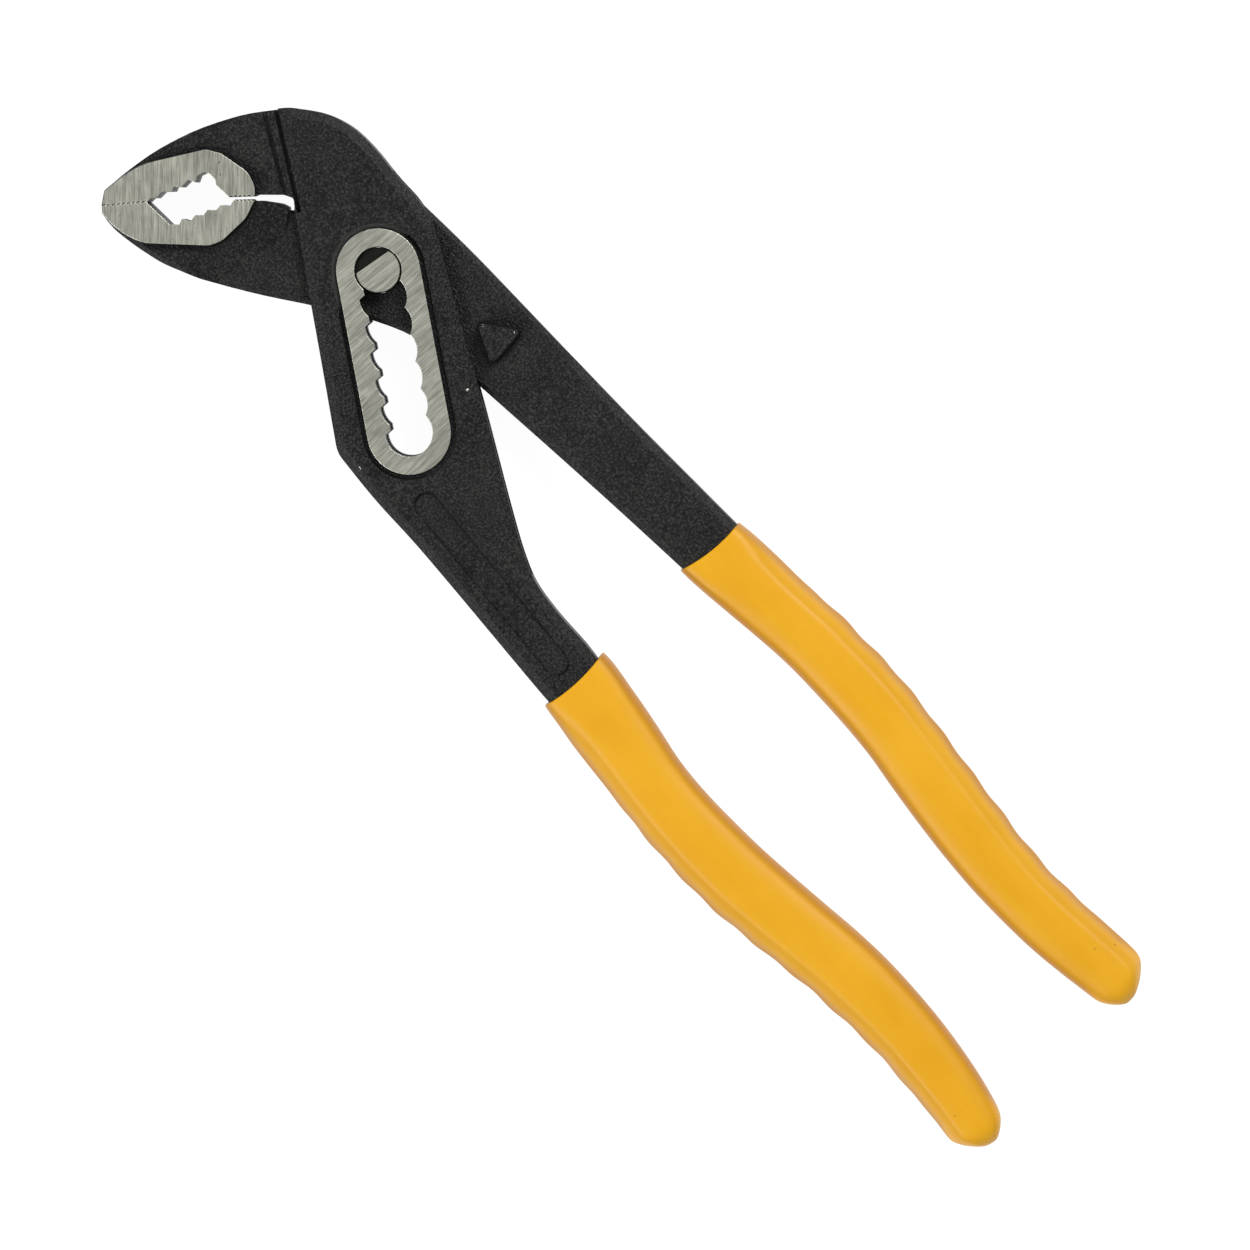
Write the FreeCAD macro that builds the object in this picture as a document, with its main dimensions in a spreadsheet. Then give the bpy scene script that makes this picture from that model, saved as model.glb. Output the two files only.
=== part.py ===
import FreeCAD, Part
import math
import os
import Sketcher

# Tongue and groove pliers of the box-joint kind, 250 mm nominal size, jaws closed in the first notch.
#
# Frame: the origin is on the pivot pin's axis, in the lower plane that the ground faces rest on.
# +X runs along the tool from the jaws to the handle ends, +Y towards the inner arm's handle,
# +Z is up through the thickness. The tool is the same above and below its mid-plane, so each
# forging is modelled as its upper half and mirrored.

V = FreeCAD.Vector
doc = FreeCAD.newDocument("tongue_and_groove_pliers")

# ---------------------------------------------------------------- driving dimensions, in mm
SIZES = [
    ("overall_thickness", 12.0),     # over the ground faces, which are also the resting planes
    ("plate_thickness", 10.8),       # over the black faces of the two slotted plates
    ("jaw_thickness", 8.4),          # over the black faces of the jaws
    ("handle_thickness", 8.4),       # steel handle where the grip starts
    ("tang_step", 0.2),              # how far the tang's face lies below the handle's
    ("web_thickness", 4.6),          # part of the inner arm that runs between the plates
    ("window_height", 5.0),          # passage between the plates
    ("lug_thickness", 10.0),         # over the stop lugs on the inner arm
    ("plate_bevel", 1.8),            # widths of the bevels along the forgings' edges
    ("jaw_bevel", 1.0),
    ("handle_bevel", 1.5),
    ("web_bevel", 0.8),
    ("bevel_steepness", 0.55),       # height of a bevel for its width
    ("root_depth", 0.6),             # how far lands and lugs run into the face they stand on
    ("lug_draft", 10.0),
    ("land_draft", 8.0),             # slope of the sides of the ground lands, in degrees
    ("notch_radius", 4.6),           # seat of the pin in the slot
    ("notch_pitch", 5.32),
    ("ring_radius", 8.1),            # ground ring round the slot
    ("moat_width", 1.0),
    ("moat_depth", 0.6),
    ("pin_radius", 4.4),
    ("pin_flat", 2.1),               # from the pin's axis to its flat
    ("bore_radius", 4.45),
    ("panel_radius", 2.6),
    ("panel_depth", 0.5),
    ("panel_draft", 40.0),
    ("groove_depth", 0.5),
]
NOTCHES = 7
SLOT_ANGLE = math.radians(-37.9)         # direction of the slot, from the first notch to the last
ALONG = V(math.cos(SLOT_ANGLE), math.sin(SLOT_ANGLE), 0)
TOOTHED_SIDE = V(ALONG.y, -ALONG.x, 0)   # across the slot, towards its hooked teeth
TOOTH_LEVEL = 3.45                       # from the slot's centre line to the flat tops of its teeth
TOOTH_HOOK = 4.25                        # from a notch to the hooked end of the tooth after it
PIN_FLAT_TURN = 24.0                     # the flat's normal, from the slot's upper end to the teeth

sheet = doc.addObject("Spreadsheet::Sheet", "Sizes")
for row, (alias, value) in enumerate(SIZES, start=1):
    sheet.set(f"A{row}", alias)
    sheet.set(f"B{row}", str(value))
    sheet.setAlias(f"B{row}", alias)
doc.recompute()


def size(alias):
    return float(sheet.get(alias))


# ---------------------------------------------------------------- outlines
# An outline is a list of corners (x, y) or (x, y, radius). A corner with no radius takes the
# largest arc that its two runs allow, so the outline is smooth; a radius of 0 keeps it sharp.

# slotted arm, from the nose over the back of the head and down the inner side of the handle
JAW_BACK = [(-50.0, -23.6, 0.5), (-49.4, -19.0), (-47.8, -11.5), (-44.4, -2.7), (-39.3, 5.7),
            (-34.4, 11.2, 0)]
JAW_UNDER_PLATES = [(-32.4, 12.2, 0), (-26.0, 9.0, 0), (-17.6, -0.6, 0), (-21.0, -5.0, 0)]
JAW_FRONT = [(-42.0, -25.0, 0), (-48.2, -26.6, 0)]
HEAD_BACK_FROM_STEP = [(-33.6, 12.3), (-27.8, 16.1), (-22.0, 17.6), (-15.5, 17.2), (-9.0, 15.9),
                       (-3.4, 15.5), (2.4, 13.7), (9.4, 9.0)]
SLOTTED_INNER = [(29.1, -3.9), (48.3, -16.9), (56.4, -22.2), (62.6, -25.5), (70.5, -27.1), (80.2, -28.1)]
SLOTTED_TANG_INNER = [(90.0, -31.2), (104.0, -34.8), (122.0, -37.2), (150.0, -37.1), (174.0, -38.8, 3.0)]
SLOTTED_TANG_OUTER = [(174.0, -47.9, 3.0), (150.0, -47.7), (122.0, -47.6), (104.0, -45.1), (92.0, -42.3)]
SLOTTED_OUTER = [(80.0, -41.1), (52.4, -36.8), (39.6, -34.9), (29.0, -33.9), (17.3, -31.8, 6.0), (2.0, -19.5)]
PLATE_FOOT = (-5.3, -13.7, 0)
HEAD_CORNER = (-20.2, -1.6, 0)

# inner arm: the lower jaw's underside, the web between the plates, then the handle
CHIN = [(-46.8, -27.4), (-43.5, -27.9), (-38.4, -27.6), (-32.4, -26.7, 20.0), (-25.0, -24.2, 20.0),
        (-19.0, -21.3, 0)]
NECK = [(-27.0, -8.0, 0), (-28.5, -25.38, 0), (-25.0, -24.2, 20.0), (-15.0, -19.35)]
WEB_LOWER = [(-5.3, -13.7), (4.0, -8.6), (13.5, -4.9), (29.1, -3.95, 0)]
WEB_UNDER_HANDLE = [(44.0, -4.0, 0), (44.0, 11.0, 0)]
WEB_UPPER = [(36.0, 12.4, 0), (10.5, 14.6), (-4.2, 15.2, 2.0), (-11.5, 9.8), (-19.7, -1.9, 0)]
INNER_HANDLE_LOWER = [(64.0, -4.1), (88.0, -4.6, 0)]
INNER_HANDLE_UPPER = [(88.0, 8.6, 0), (56.1, 10.7), (41.0, 12.0)]
INNER_TANG = [(86.0, -3.4, 0), (104.0, -3.0), (120.0, -4.0), (140.0, -7.6), (160.0, -11.4),
              (178.0, -13.4, 3.0), (178.0, -3.8, 3.0), (160.0, -1.4), (140.0, 3.1), (120.0, 6.2),
              (104.0, 7.0), (86.0, 7.4, 0)]

# mouth: the straight serrated tip, the stepped pipe teeth, the serrated heel and the throat
TIP_CONTACT = ((-48.2, -25.9), (-42.2, -19.6))
TIP_SERRATIONS = 9
HEEL_SERRATIONS = 5
SERRATION_DEPTH = 0.35
JAW_GAP = 0.12                           # left between the closed jaws at their tips
UPPER_TEETH = [(-42.1, -18.5), (-41.4, -17.9), (-41.3, -16.2), (-39.9, -14.9), (-40.2, -13.9),
               (-39.1, -13.1), (-39.0, -11.1), (-37.7, -10.6), (-38.2, -9.3),
               (-37.5, -7.5, 0.8), (-35.1, -7.6, 0.8), (-34.3, -8.3), (-30.9, -8.4)]
UPPER_HEEL = ((-30.9, -8.4), (-27.7, -5.4))
UPPER_THROAT = [(-27.3, -4.6), (-23.4, -1.2), (-21.5, -0.4, 0.8), (-20.2, -1.6)]
LOWER_TEETH = [(-37.3, -19.9), (-36.1, -20.0), (-34.6, -18.8), (-35.0, -17.6), (-33.4, -16.9),
               (-33.5, -15.3), (-32.3, -14.3), (-32.4, -13.0), (-31.1, -11.9), (-31.1, -10.6),
               (-29.6, -9.5), (-29.8, -8.5)]
LOWER_HEEL = ((-29.8, -8.5), (-27.0, -5.9))
LOWER_THROAT = [(-25.7, -4.7), (-22.6, -2.7, 2.0), (-19.7, -1.9)]

# corners that close the outlines of the mouth cuts and of the lands, clear of the jaw in question
UPPER_CUT_FAR = [(-16.0, -8.0), (-38.0, -32.0), (-52.2, -30.1)]
LOWER_CUT_FAR = [(-22.0, 4.0), (-46.0, 4.0), (-56.0, -24.0), (-52.0, -30.3)]
UPPER_LAND_FAR = [(-28.0, -9.0, 0), (-42.0, -24.0, 0), (-47.4, -27.0, 0)]
LOWER_LAND_FAR = [(-29.0, -4.0, 0), (-42.5, -18.0, 0), (-49.0, -25.0, 0)]

# ground faces of the jaws, behind their mouths
UPPER_LAND = [(-49.7, -23.4, 0.3), (-49.0, -18.9), (-47.6, -14.6), (-40.4, -4.5, 2.0), (-37.6, -3.1, 3.0),
              (-31.5, -2.4, 3.5), (-28.7, -3.5, 3.0), (-27.2, -5.1, 1.0)]
LOWER_LAND = [(-47.3, -26.8, 0.4), (-44.6, -27.4), (-41.0, -27.1), (-37.6, -26.1), (-27.6, -17.9, 3.0),
              (-26.4, -15.6, 3.0), (-25.8, -9.4, 4.0), (-26.8, -5.6, 1.0)]

# step from the upper jaw up to the plates, and the pair of grooves in front of it
STEP = ((-35.2, 10.6), (-21.6, 0.3))
PLATE_SLOPE = 0.66                       # the plates' outer faces close in towards the handle, in degrees
TIPPED = FreeCAD.Rotation(V(0, 1, 0), PLATE_SLOPE)
GROOVE_WIDTH = 0.9
GROOVE_OVERRUN = 4.0
GROOVES = [((-36.5, 7.6), (-24.3, -0.8)), ((-35.4, 9.7), (-22.4, 0.3))]

# the lower jaw thins to the web's thickness towards this line, so that it clears the plates when
# the jaws open: the line stands off the pin by SHOULDER_REACH along SHOULDER_AWAY
SHOULDER_AWAY = V(-0.971, 0.239, 0)
SHOULDER_REACH = 15.8
SHOULDER_LENGTH = 7.2
LOWER_SHOULDER = [(-17.8, -12.0, 0), (-17.8, -7.6, 0), (-20.8, -2.6, 0), (-22.6, -1.2, 0)]
LOWER_NOSE = [(-48.9, -25.2, 0)]
LOWER_JAW_UNDER_MOUTH = [(-28.0, -3.4, 0), (-41.0, -17.0, 0)]

# passage for the web between the plates
WINDOW = [(-21.2, -2.5), (-10.3, 17.0), (66.0, 17.0), (66.0, -24.8), (42.5, -24.8), (36.4, -27.4),
          (36.4, -40.0), (-21.2, -40.0)]

LUG = [(21.0, 5.0, 0.8), (28.5, 9.5, 0.8), (28.5, 0.7, 0.8)]
PANEL_ENDS = [V(37.0, -27.9, 0), V(76.0, -34.3, 0)]
HANDLE_START = 36.0                      # the web starts to thicken into the handle here
GRIP_START = 84.0

# grips: station along the tool, centre line, slope in degrees, width, thickness, corner radius
SLOTTED_GRIP = [
    (81.0, -34.8, -5, 14.4, 10.4, 2.8), (92.0, -37.1, -11, 15.8, 11.6, 4.2),
    (106.0, -40.2, -10, 14.5, 12.0, 5.0), (122.0, -42.3, -5, 14.8, 12.0, 5.2),
    (140.0, -42.7, 0, 14.8, 12.0, 5.2), (158.0, -42.3, -1, 14.4, 12.0, 5.2),
    (174.0, -43.5, -8, 13.7, 12.0, 5.0), (188.0, -46.1, -13, 12.6, 11.4, 4.8),
    (196.5, -48.6, -22, 10.6, 9.4, 4.2), (200.2, -49.9, -28, 6.2, 5.2, 2.4),
]
INNER_GRIP = [
    (84.0, 2.2, -9, 14.2, 10.4, 2.8), (94.0, 2.1, 0, 14.6, 11.6, 4.2),
    (108.0, 2.0, -1, 14.0, 12.0, 5.0), (124.0, 0.8, -7, 14.2, 12.0, 5.2),
    (142.0, -2.4, -12, 14.4, 12.0, 5.2), (160.0, -6.2, -10, 14.4, 12.0, 5.2),
    (176.0, -8.3, -4, 13.5, 12.0, 5.0), (190.0, -8.5, 3, 12.9, 11.4, 4.8),
    (198.5, -8.3, -6, 11.0, 9.4, 4.2), (202.0, -8.7, -14, 6.2, 5.2, 2.4),
]


def serrated(line, count):
    """Points of a row of small pointed teeth along a line, sunk to its left."""
    start = V(*line[0], 0)
    run = V(*line[1], 0) - start
    left = V(-run.y, run.x, 0).normalize()
    points = []
    for tooth in range(count):
        valley = start + run * ((tooth + 0.5) / count) + left * SERRATION_DEPTH
        peak = start + run * ((tooth + 1) / count)
        points += [(valley.x, valley.y), (peak.x, peak.y)]
    return points


def inset(corners, distance):
    """The same outline moved inwards, corner by corner."""
    points = [V(corner[0], corner[1], 0) for corner in corners]
    count = len(points)
    area = sum(points[i - 1].x * points[i].y - points[i].x * points[i - 1].y for i in range(count))
    facing = math.copysign(1.0, area)
    result = []
    for index, corner in enumerate(corners):
        before = (points[index] - points[index - 1]).normalize()
        after = (points[(index + 1) % count] - points[index]).normalize()
        inward = V(-before.y, before.x, 0) * facing
        inward_after = V(-after.y, after.x, 0) * facing
        both = inward + inward_after
        moved = points[index] + both * (distance / (1 + inward.dot(inward_after)))
        if len(corner) == 3 and corner[2] > 0:
            turn = before.cross(after).z * facing
            result.append((moved.x, moved.y, max(corner[2] - math.copysign(distance, turn), 0.05)))
        else:
            result.append((moved.x, moved.y) + tuple(corner[2:]))
    return result


def rounded(corners, sharp=False):
    """Edges of a closed outline whose corners are rounded by arcs tangent to both runs."""
    points = [V(corner[0], corner[1], 0) for corner in corners]
    edges = []
    leaves = []
    for index, corner in enumerate(corners):
        here = points[index]
        back = points[index - 1] - here
        ahead = points[(index + 1) % len(points)] - here
        half_turn = (math.pi - back.getAngle(ahead)) / 2
        room = 0.45 * min(back.Length, ahead.Length)
        if len(corner) == 3:
            reach = min(corner[2] * math.tan(half_turn), room)
        else:
            reach = 0 if sharp else room
        if reach < 1e-4 or half_turn < 1e-4:
            leaves.append((here, here, here))
            continue
        start = here + back.normalize() * reach
        end = here + ahead.normalize() * reach
        radius = reach / math.tan(half_turn)
        inward = (start + end - here * 2).normalize()
        middle = here + inward * (radius / math.cos(half_turn) - radius)
        leaves.append((start, middle, end))
    for index, (start, middle, end) in enumerate(leaves):
        if start != end:
            edges.append(Part.Arc(start, middle, end))
        following = leaves[(index + 1) % len(leaves)][0]
        if end.distanceToPoint(following) > 1e-6:
            edges.append(Part.LineSegment(end, following))
    return edges


# ---------------------------------------------------------------- modelling helpers
def new_body(label):
    body = doc.addObject("PartDesign::Body", label)
    body.Label = label
    return body


def origin_plane(body, role):
    return next(item for item in body.Origin.OriginFeatures if item.Role == role)


def sketch_on(body, name, role="XY_Plane", height=None):
    """A sketch on one of the body's own planes; height is an expression for its level."""
    sketch = body.newObject("Sketcher::SketchObject", name)
    sketch.AttachmentSupport = [(origin_plane(body, role), "")]
    sketch.MapMode = "FlatFace"
    if height:
        sketch.setExpression("AttachmentOffset.Base.z", height)
    return sketch


def draw(sketch, corners, sharp=False):
    """Add a closed outline to a sketch."""
    sketch.addGeometry(rounded(corners, sharp))


def feature(body, kind, name, sketch, **settings):
    item = body.newObject(kind, name)
    item.Profile = sketch
    for key, value in settings.items():
        if key == "length":
            item.setExpression("Length", value)
        else:
            setattr(item, key, value)
    doc.recompute()
    if item.Shape.isNull() or not item.Shape.isValid():
        raise RuntimeError(f"{name} makes no valid solid: {item.State}")
    return item


def pad(body, name, sketch, **settings):
    return feature(body, "PartDesign::Pad", name, sketch, **settings)


def pocket(body, name, sketch, **settings):
    """A cut that is checked to have removed something."""
    before = body.Shape.Volume
    item = feature(body, "PartDesign::Pocket", name, sketch, **settings)
    if item.Shape.Volume > before - 0.01:
        raise RuntimeError(f"{name} cuts nothing")
    return item


def forge(body, name, corners, height, bevel, slope=0.0):
    """Upper half of a forging: upright sides from the mid-plane, then a bevel up to its top face.

    height is an expression for the top face's level at the origin and bevel the alias of the
    bevel's width; slope tips the top face down towards +X, in degrees.
    """
    levels = [(corners, None), (corners, f"{height} - Sizes.{bevel} * Sizes.bevel_steepness")]
    levels.append((inset(corners, size(bevel)), height))
    sections = []
    for number, (outline, level) in enumerate(levels):
        sketch = sketch_on(body, f"{name}_section_{number}", height=level)
        if level:
            sketch.AttachmentOffset = FreeCAD.Placement(V(0, 0, 0), FreeCAD.Rotation(V(0, 1, 0), slope))
        draw(sketch, outline)
        sections.append(sketch)
    item = body.newObject("PartDesign::AdditiveLoft", name)
    item.Profile = sections[0]
    item.Sections = sections[1:]
    item.Ruled = True
    doc.recompute()
    if item.Shape.isNull() or not item.Shape.isValid():
        raise RuntimeError(f"{name} makes no valid solid: {item.State}")
    return item


def mirror_whole(body):
    """Complete the upper half below the mid-plane and stand the piece on the resting plane."""
    item = body.newObject("PartDesign::Mirrored", body.Label + "_both_sides")
    item.TransformMode = "Whole shape"
    item.MirrorPlane = (origin_plane(body, "XY_Plane"), [""])
    body.Tip = item
    body.setExpression("Placement.Base.z", "Sizes.overall_thickness / 2")
    doc.recompute()


def stadium(sketch, first_centre, last_centre, radius):
    """A round-ended loop about a line, its end arcs bound to one radius."""
    along = (last_centre - first_centre).normalize()
    side = V(-along.y, along.x, 0)
    value = size(radius) if isinstance(radius, str) else radius
    a = first_centre + side * value
    b = first_centre - along * value
    c = first_centre - side * value
    d = last_centre - side * value
    e = last_centre + along * value
    f = last_centre + side * value
    sketch.addGeometry([Part.Arc(a, b, c), Part.LineSegment(c, d), Part.Arc(d, e, f), Part.LineSegment(f, a)])


# ---------------------------------------------------------------- the mouth, shared by both jaws
def upper_mouth():
    """Corners along the upper jaw's mouth, from the nose to the throat."""
    return ([TIP_CONTACT[0]] + serrated(TIP_CONTACT, TIP_SERRATIONS) + UPPER_TEETH
            + serrated(UPPER_HEEL, HEEL_SERRATIONS) + UPPER_THROAT)


def lower_mouth():
    """Corners along the lower jaw's mouth, from the nose to the throat."""
    run = V(*TIP_CONTACT[1], 0) - V(*TIP_CONTACT[0], 0)
    down = V(run.y, -run.x, 0).normalize() * JAW_GAP
    contact = [(x + down.x, y + down.y) for x, y in TIP_CONTACT]
    return ([contact[0]] + serrated(contact, TIP_SERRATIONS) + LOWER_TEETH
            + serrated(LOWER_HEEL, HEEL_SERRATIONS) + LOWER_THROAT)


# ---------------------------------------------------------------- slotted arm
def slot_edges():
    """The slot: scalloped by the seats on one side, with hooked teeth on the other."""
    radius = size("notch_radius")
    pitch = size("notch_pitch")

    def on_seat(notch, degrees):
        """Point of a seat's circle, turned from the teeth's side towards the last notch."""
        turn = math.radians(degrees)
        across = TOOTHED_SIDE * (radius * math.cos(turn))
        return ALONG * (pitch * notch + radius * math.sin(turn)) + across

    tooth_tip = math.degrees(math.acos(TOOTH_LEVEL / radius))
    tooth_root = -5.2
    cusp = math.degrees(math.asin(pitch / 2 / radius))
    last = NOTCHES - 1
    edges = []
    for notch in range(last):
        seat_side = (on_seat(notch, tooth_root), on_seat(notch, 15.0), on_seat(notch, tooth_tip))
        edges.append(Part.Arc(*seat_side))
        hook = ALONG * (pitch * notch + TOOTH_HOOK) + TOOTHED_SIDE * TOOTH_LEVEL
        edges.append(Part.LineSegment(on_seat(notch, tooth_tip), hook))
        edges.append(Part.LineSegment(hook, on_seat(notch + 1, tooth_root)))
    edges.append(Part.Arc(on_seat(last, tooth_root), on_seat(last, 90.0), on_seat(last, 180.0 + cusp)))
    for notch in range(last - 1, 0, -1):
        scallop = (on_seat(notch, 180.0 - cusp), on_seat(notch, 180.0), on_seat(notch, 180.0 + cusp))
        edges.append(Part.Arc(*scallop))
    edges.append(Part.Arc(on_seat(0, 180.0 - cusp), on_seat(0, 260.0), on_seat(0, tooth_root)))
    return edges


def slotted_arm():
    body = new_body("slotted_arm")

    step_top = STEP[0] + (0,)
    step_foot = STEP[1] + (0,)
    plates = [step_top] + HEAD_BACK_FROM_STEP + SLOTTED_INNER + SLOTTED_TANG_INNER + SLOTTED_TANG_OUTER
    plates += SLOTTED_OUTER + [PLATE_FOOT, HEAD_CORNER, step_foot]
    forge(body, "plates_and_handle", plates, "Sizes.plate_thickness / 2", "plate_bevel", slope=PLATE_SLOPE)

    forge(body, "upper_jaw", JAW_BACK + JAW_UNDER_PLATES + JAW_FRONT, "Sizes.jaw_thickness / 2", "jaw_bevel")

    land = sketch_on(body, "upper_jaw_land", height="Sizes.overall_thickness / 2")
    draw(land, UPPER_LAND + UPPER_LAND_FAR)
    pad(body, "upper_jaw_ground", land, Reversed=True, TaperAngle=size("land_draft"),
        length="(Sizes.overall_thickness - Sizes.jaw_thickness) / 2 + Sizes.root_depth")

    first = V(0, 0, 0)
    last = ALONG * (size("notch_pitch") * (NOTCHES - 1))
    moat = sketch_on(body, "moat_outline", height="Sizes.plate_thickness / 2")
    stadium(moat, first, last, size("ring_radius") + size("moat_width"))
    pocket(body, "ring_moat", moat, length="Sizes.moat_depth")
    ring = sketch_on(body, "ring_outline", height="Sizes.overall_thickness / 2")
    stadium(ring, first, last, size("ring_radius"))
    pad(body, "ring_ground", ring, Reversed=True,
        length="(Sizes.overall_thickness - Sizes.window_height) / 2")

    for number, (high, low) in enumerate(GROOVES, start=1):
        groove = sketch_on(body, f"groove_{number}", height="Sizes.plate_thickness / 2")
        run = (V(*low, 0) - V(*high, 0)).normalize()
        across = V(-run.y, run.x, 0) * GROOVE_WIDTH
        start = V(*high, 0) - run * GROOVE_OVERRUN
        end = V(*low, 0) + run * GROOVE_OVERRUN
        corners = [(point.x, point.y) for point in (start, end, end + across, start + across)]
        draw(groove, corners, sharp=True)
        pocket(body, f"step_groove_{number}", groove,
               length="(Sizes.plate_thickness - Sizes.jaw_thickness) / 2 + Sizes.groove_depth")

    mouth = sketch_on(body, "upper_mouth")
    draw(mouth, upper_mouth() + UPPER_CUT_FAR, sharp=True)
    pocket(body, "mouth_cut", mouth, Type="ThroughAll", Reversed=True)

    panel = sketch_on(body, "panel_outline", height="Sizes.plate_thickness / 2")
    stadium(panel, PANEL_ENDS[0], PANEL_ENDS[1], size("panel_radius"))
    panel.AttachmentOffset = FreeCAD.Placement(panel.AttachmentOffset.Base, TIPPED)
    pocket(body, "panel", panel, length="Sizes.panel_depth", TaperAngle=-size("panel_draft"))

    window = sketch_on(body, "window_outline")
    draw(window, WINDOW, sharp=True)
    pocket(body, "window", window, Reversed=True, length="Sizes.window_height / 2")

    slot = sketch_on(body, "slot_outline")
    slot.addGeometry(slot_edges())
    pocket(body, "slot", slot, Type="ThroughAll", Reversed=True)

    mirror_whole(body)
    return body


# ---------------------------------------------------------------- inner arm
def thin_towards_plates(body):
    """A ramp over the lower jaw, from its full thickness down to the web's."""
    turn = FreeCAD.Rotation(SHOULDER_AWAY, V(0, 0, 1), V(0, 0, 0), "XZY")
    ramp = sketch_on(body, "shoulder_ramp")
    ramp.AttachmentOffset = FreeCAD.Placement(V(0, 0, 0), turn)
    full = size("jaw_thickness") / 2
    thin = size("web_thickness") / 2
    above = full + 1
    slope = (full - thin) / SHOULDER_LENGTH
    top = SHOULDER_REACH + SHOULDER_LENGTH + 1 / slope
    corners = [(SHOULDER_REACH, thin), (top, above), (0, above), (0, thin)]
    draw(ramp, corners, sharp=True)
    pocket(body, "shoulder_slope", ramp, Type="ThroughAll", Midplane=True)


def inner_arm():
    body = new_body("inner_arm")
    jaw = LOWER_NOSE + CHIN + LOWER_SHOULDER + LOWER_JAW_UNDER_MOUTH
    forge(body, "lower_jaw", jaw, "Sizes.jaw_thickness / 2", "jaw_bevel")
    thin_towards_plates(body)

    web = NECK + WEB_LOWER + WEB_UNDER_HANDLE + WEB_UPPER
    forge(body, "web", web, "Sizes.web_thickness / 2", "web_bevel")

    gain = (size("handle_thickness") - size("web_thickness")) / 2
    run = GRIP_START - HANDLE_START
    rise = math.degrees(math.atan(gain / run))
    level = "Sizes.web_thickness / 2 - (Sizes.handle_thickness - Sizes.web_thickness) / 2"
    level += f" * {HANDLE_START / run}"
    handle = [(HANDLE_START, -3.95, 0)] + INNER_HANDLE_LOWER + INNER_HANDLE_UPPER + [(HANDLE_START, 12.4, 0)]
    forge(body, "inner_handle", handle, level, "handle_bevel", slope=-rise)
    forge(body, "inner_tang", INNER_TANG, "Sizes.handle_thickness / 2 - Sizes.tang_step", "handle_bevel")

    land = sketch_on(body, "lower_jaw_land", height="Sizes.overall_thickness / 2")
    draw(land, LOWER_LAND + LOWER_LAND_FAR)
    pad(body, "lower_jaw_ground", land, Reversed=True, TaperAngle=size("land_draft"),
        length="(Sizes.overall_thickness - Sizes.jaw_thickness) / 2 + Sizes.root_depth")

    lug = sketch_on(body, "lug_outline", height="Sizes.lug_thickness / 2")
    draw(lug, LUG)
    pad(body, "stop_lug", lug, Reversed=True, TaperAngle=size("lug_draft"),
        length="(Sizes.lug_thickness - Sizes.web_thickness) / 2 + Sizes.root_depth")

    mouth = sketch_on(body, "lower_mouth")
    draw(mouth, lower_mouth() + LOWER_CUT_FAR, sharp=True)
    pocket(body, "mouth_cut", mouth, Type="ThroughAll", Reversed=True)

    bore = sketch_on(body, "bore_outline")
    bore.addGeometry(Part.Circle(V(0, 0, 0), V(0, 0, 1), size("bore_radius")))
    bore.addConstraint(Sketcher.Constraint("Coincident", 0, 3, -1, 1))
    radius = bore.addConstraint(Sketcher.Constraint("Radius", 0, size("bore_radius")))
    bore.setExpression(f"Constraints[{radius}]", "Sizes.bore_radius")
    pocket(body, "bore", bore, Type="ThroughAll", Reversed=True)

    mirror_whole(body)
    return body


# ---------------------------------------------------------------- pivot pin
def pivot_pin():
    """Round where it turns in the web, with a flat on each end that passes the slot's teeth."""
    body = new_body("pivot_pin")
    shank = sketch_on(body, "shank_outline")
    shank.addGeometry(Part.Circle(V(0, 0, 0), V(0, 0, 1), size("pin_radius")))
    shank.addConstraint(Sketcher.Constraint("Coincident", 0, 3, -1, 1))
    radius = shank.addConstraint(Sketcher.Constraint("Radius", 0, size("pin_radius")))
    shank.setExpression(f"Constraints[{radius}]", "Sizes.pin_radius")
    pad(body, "shank", shank, length="Sizes.overall_thickness / 2")

    flat = sketch_on(body, "flat_outline", height="Sizes.web_thickness / 2")
    turn = FreeCAD.Rotation(V(0, 0, 1), PIN_FLAT_TURN)
    outward = turn.multVec(ALONG * -1)
    across = V(-outward.y, outward.x, 0)
    reach = 2 * size("pin_radius")
    near = outward * size("pin_flat")
    far = outward * reach
    corners = [near - across * reach, near + across * reach, far + across * reach, far - across * reach]
    draw(flat, [(corner.x, corner.y) for corner in corners], sharp=True)
    pocket(body, "flat", flat, Type="ThroughAll", Reversed=True)

    mirror_whole(body)
    return body


# ---------------------------------------------------------------- grips
def grip_section(body, name, station):
    """One rounded section of a grip, square to its centre line."""
    along, centre, slope, width, thickness, corner = station
    sketch = sketch_on(body, name, role="YZ_Plane")
    sketch.AttachmentOffset = FreeCAD.Placement(V(centre, 0, along), FreeCAD.Rotation(V(0, 1, 0), slope))
    w = width / 2
    t = thickness / 2
    draw(sketch, [(-w, -t, corner), (w, -t, corner), (w, t, corner), (-w, t, corner)])
    return sketch


def grip(label, stations, arm):
    """A vinyl sleeve lofted along the handle, hollow where the steel goes in."""
    body = doc.addObject("PartDesign::Body", label + "_sleeve")
    sections = []
    for number, station in enumerate(stations):
        sections.append(grip_section(body, f"{label}_section_{number}", station))
    loft = body.newObject("PartDesign::AdditiveLoft", label + "_loft")
    loft.Profile = sections[0]
    loft.Sections = sections[1:]
    body.setExpression("Placement.Base.z", "Sizes.overall_thickness / 2")
    doc.recompute()
    sleeve = doc.addObject("Part::Cut", label)
    sleeve.Label = label
    sleeve.Base = body
    sleeve.Tool = arm
    doc.recompute()
    return sleeve


# ---------------------------------------------------------------- assembly and export
slotted = slotted_arm()
inner = inner_arm()
pieces = [slotted, inner, pivot_pin(),
          grip("slotted_arm_grip", SLOTTED_GRIP, slotted), grip("inner_arm_grip", INNER_GRIP, inner)]
doc.recompute()

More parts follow.
